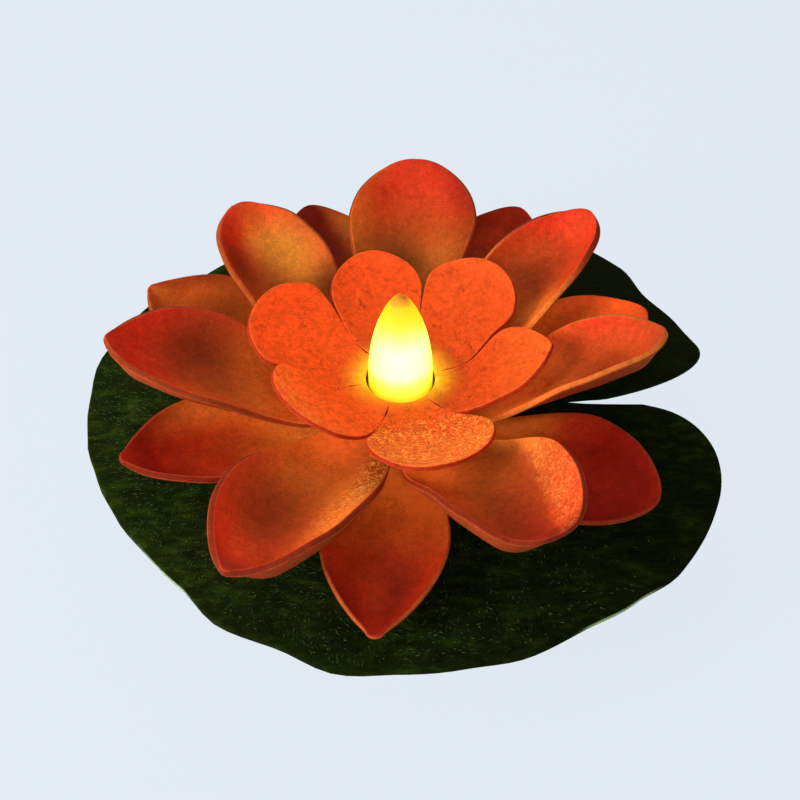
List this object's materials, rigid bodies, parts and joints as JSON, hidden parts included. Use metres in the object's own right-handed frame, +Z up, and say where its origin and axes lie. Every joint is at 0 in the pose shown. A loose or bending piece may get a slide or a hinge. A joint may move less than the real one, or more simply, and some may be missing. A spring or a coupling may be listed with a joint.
{
  "type": "floating pool light",
  "caption": "Floating light shaped as a water lily: rings of moulded foam petals on a notched lily pad, with a sealed, switched LED lamp whose lens is a flame.",
  "frame": {"origin": "on the lamp's axis, at the flat underside of the base plate", "axes": "+Z up along the flame, +X towards the notch of the pad, -Y towards the front of the picture"},
  "size_m": [0.1817, 0.1788, 0.0633],
  "materials": {
    "pad_flock": "flocked foam",
    "outer_foam": "matte moulded foam",
    "middle_foam": "matte moulded foam",
    "inner_foam": "matte moulded foam",
    "retainer_plastic": "moulded",
    "housing_plastic": "moulded, satin",
    "white_plastic": "moulded, satin",
    "cap_plastic": "moulded, satin",
    "flame_plastic": "translucent, lit from inside",
    "led_epoxy": "clear epoxy",
    "seal_rubber": "moulded",
    "board_laminate": "solder resist",
    "chip_black": "matte",
    "switch_black": "matte",
    "steel": "bright",
    "spring_metal": "bright"
  },
  "bodies": {
    "light": {"lily_pad": "pad_flock", "outer_petals": "outer_foam", "middle_petals": "middle_foam", "inner_petals": "inner_foam", "neck_retainer": "retainer_plastic", "lamp_housing": "housing_plastic", "flame_diffuser": "flame_plastic", "diffuser_seal": "seal_rubber", "led_bulb": "led_epoxy", "anode_lead": "steel", "cathode_lead": "steel", "circuit_board": "board_laminate", "chip_resistor": "chip_black", "switch_body": "switch_black", "negative_contact": "spring_metal", "positive_contact": "spring_metal", "coin_cell": "steel", "base_plate": "white_plastic", "base_gasket": "seal_rubber", "base_screw_1": "steel", "base_screw_2": "steel", "base_screw_3": "steel"},
    "slider": {"switch_slider": "white_plastic"},
    "cap_ring": {"cap_oring": "seal_rubber"},
    "cap": {"battery_cap": "cap_plastic"}
  },
  "joints": [
    {"name": "switch_slide", "type": "slide", "parent": "light", "child": "slider", "axis": [1, 0, 0], "range_m": [0, 0.0025]},
    {"name": "cap_lower", "type": "slide", "parent": "light", "child": "cap_ring", "axis": [0, 0, -1], "range_m": [0, 0.0046]},
    {"name": "cap_turn", "type": "hinge", "parent": "cap_ring", "child": "cap", "pos_m": [0, 0, 0], "axis": [0, 0, -1], "range_deg": [0, 810]}
  ],
  "couplings": [
    {"joint": "cap_lower", "follows": "cap_turn", "m_per_rad": 0.00031831}
  ]
}
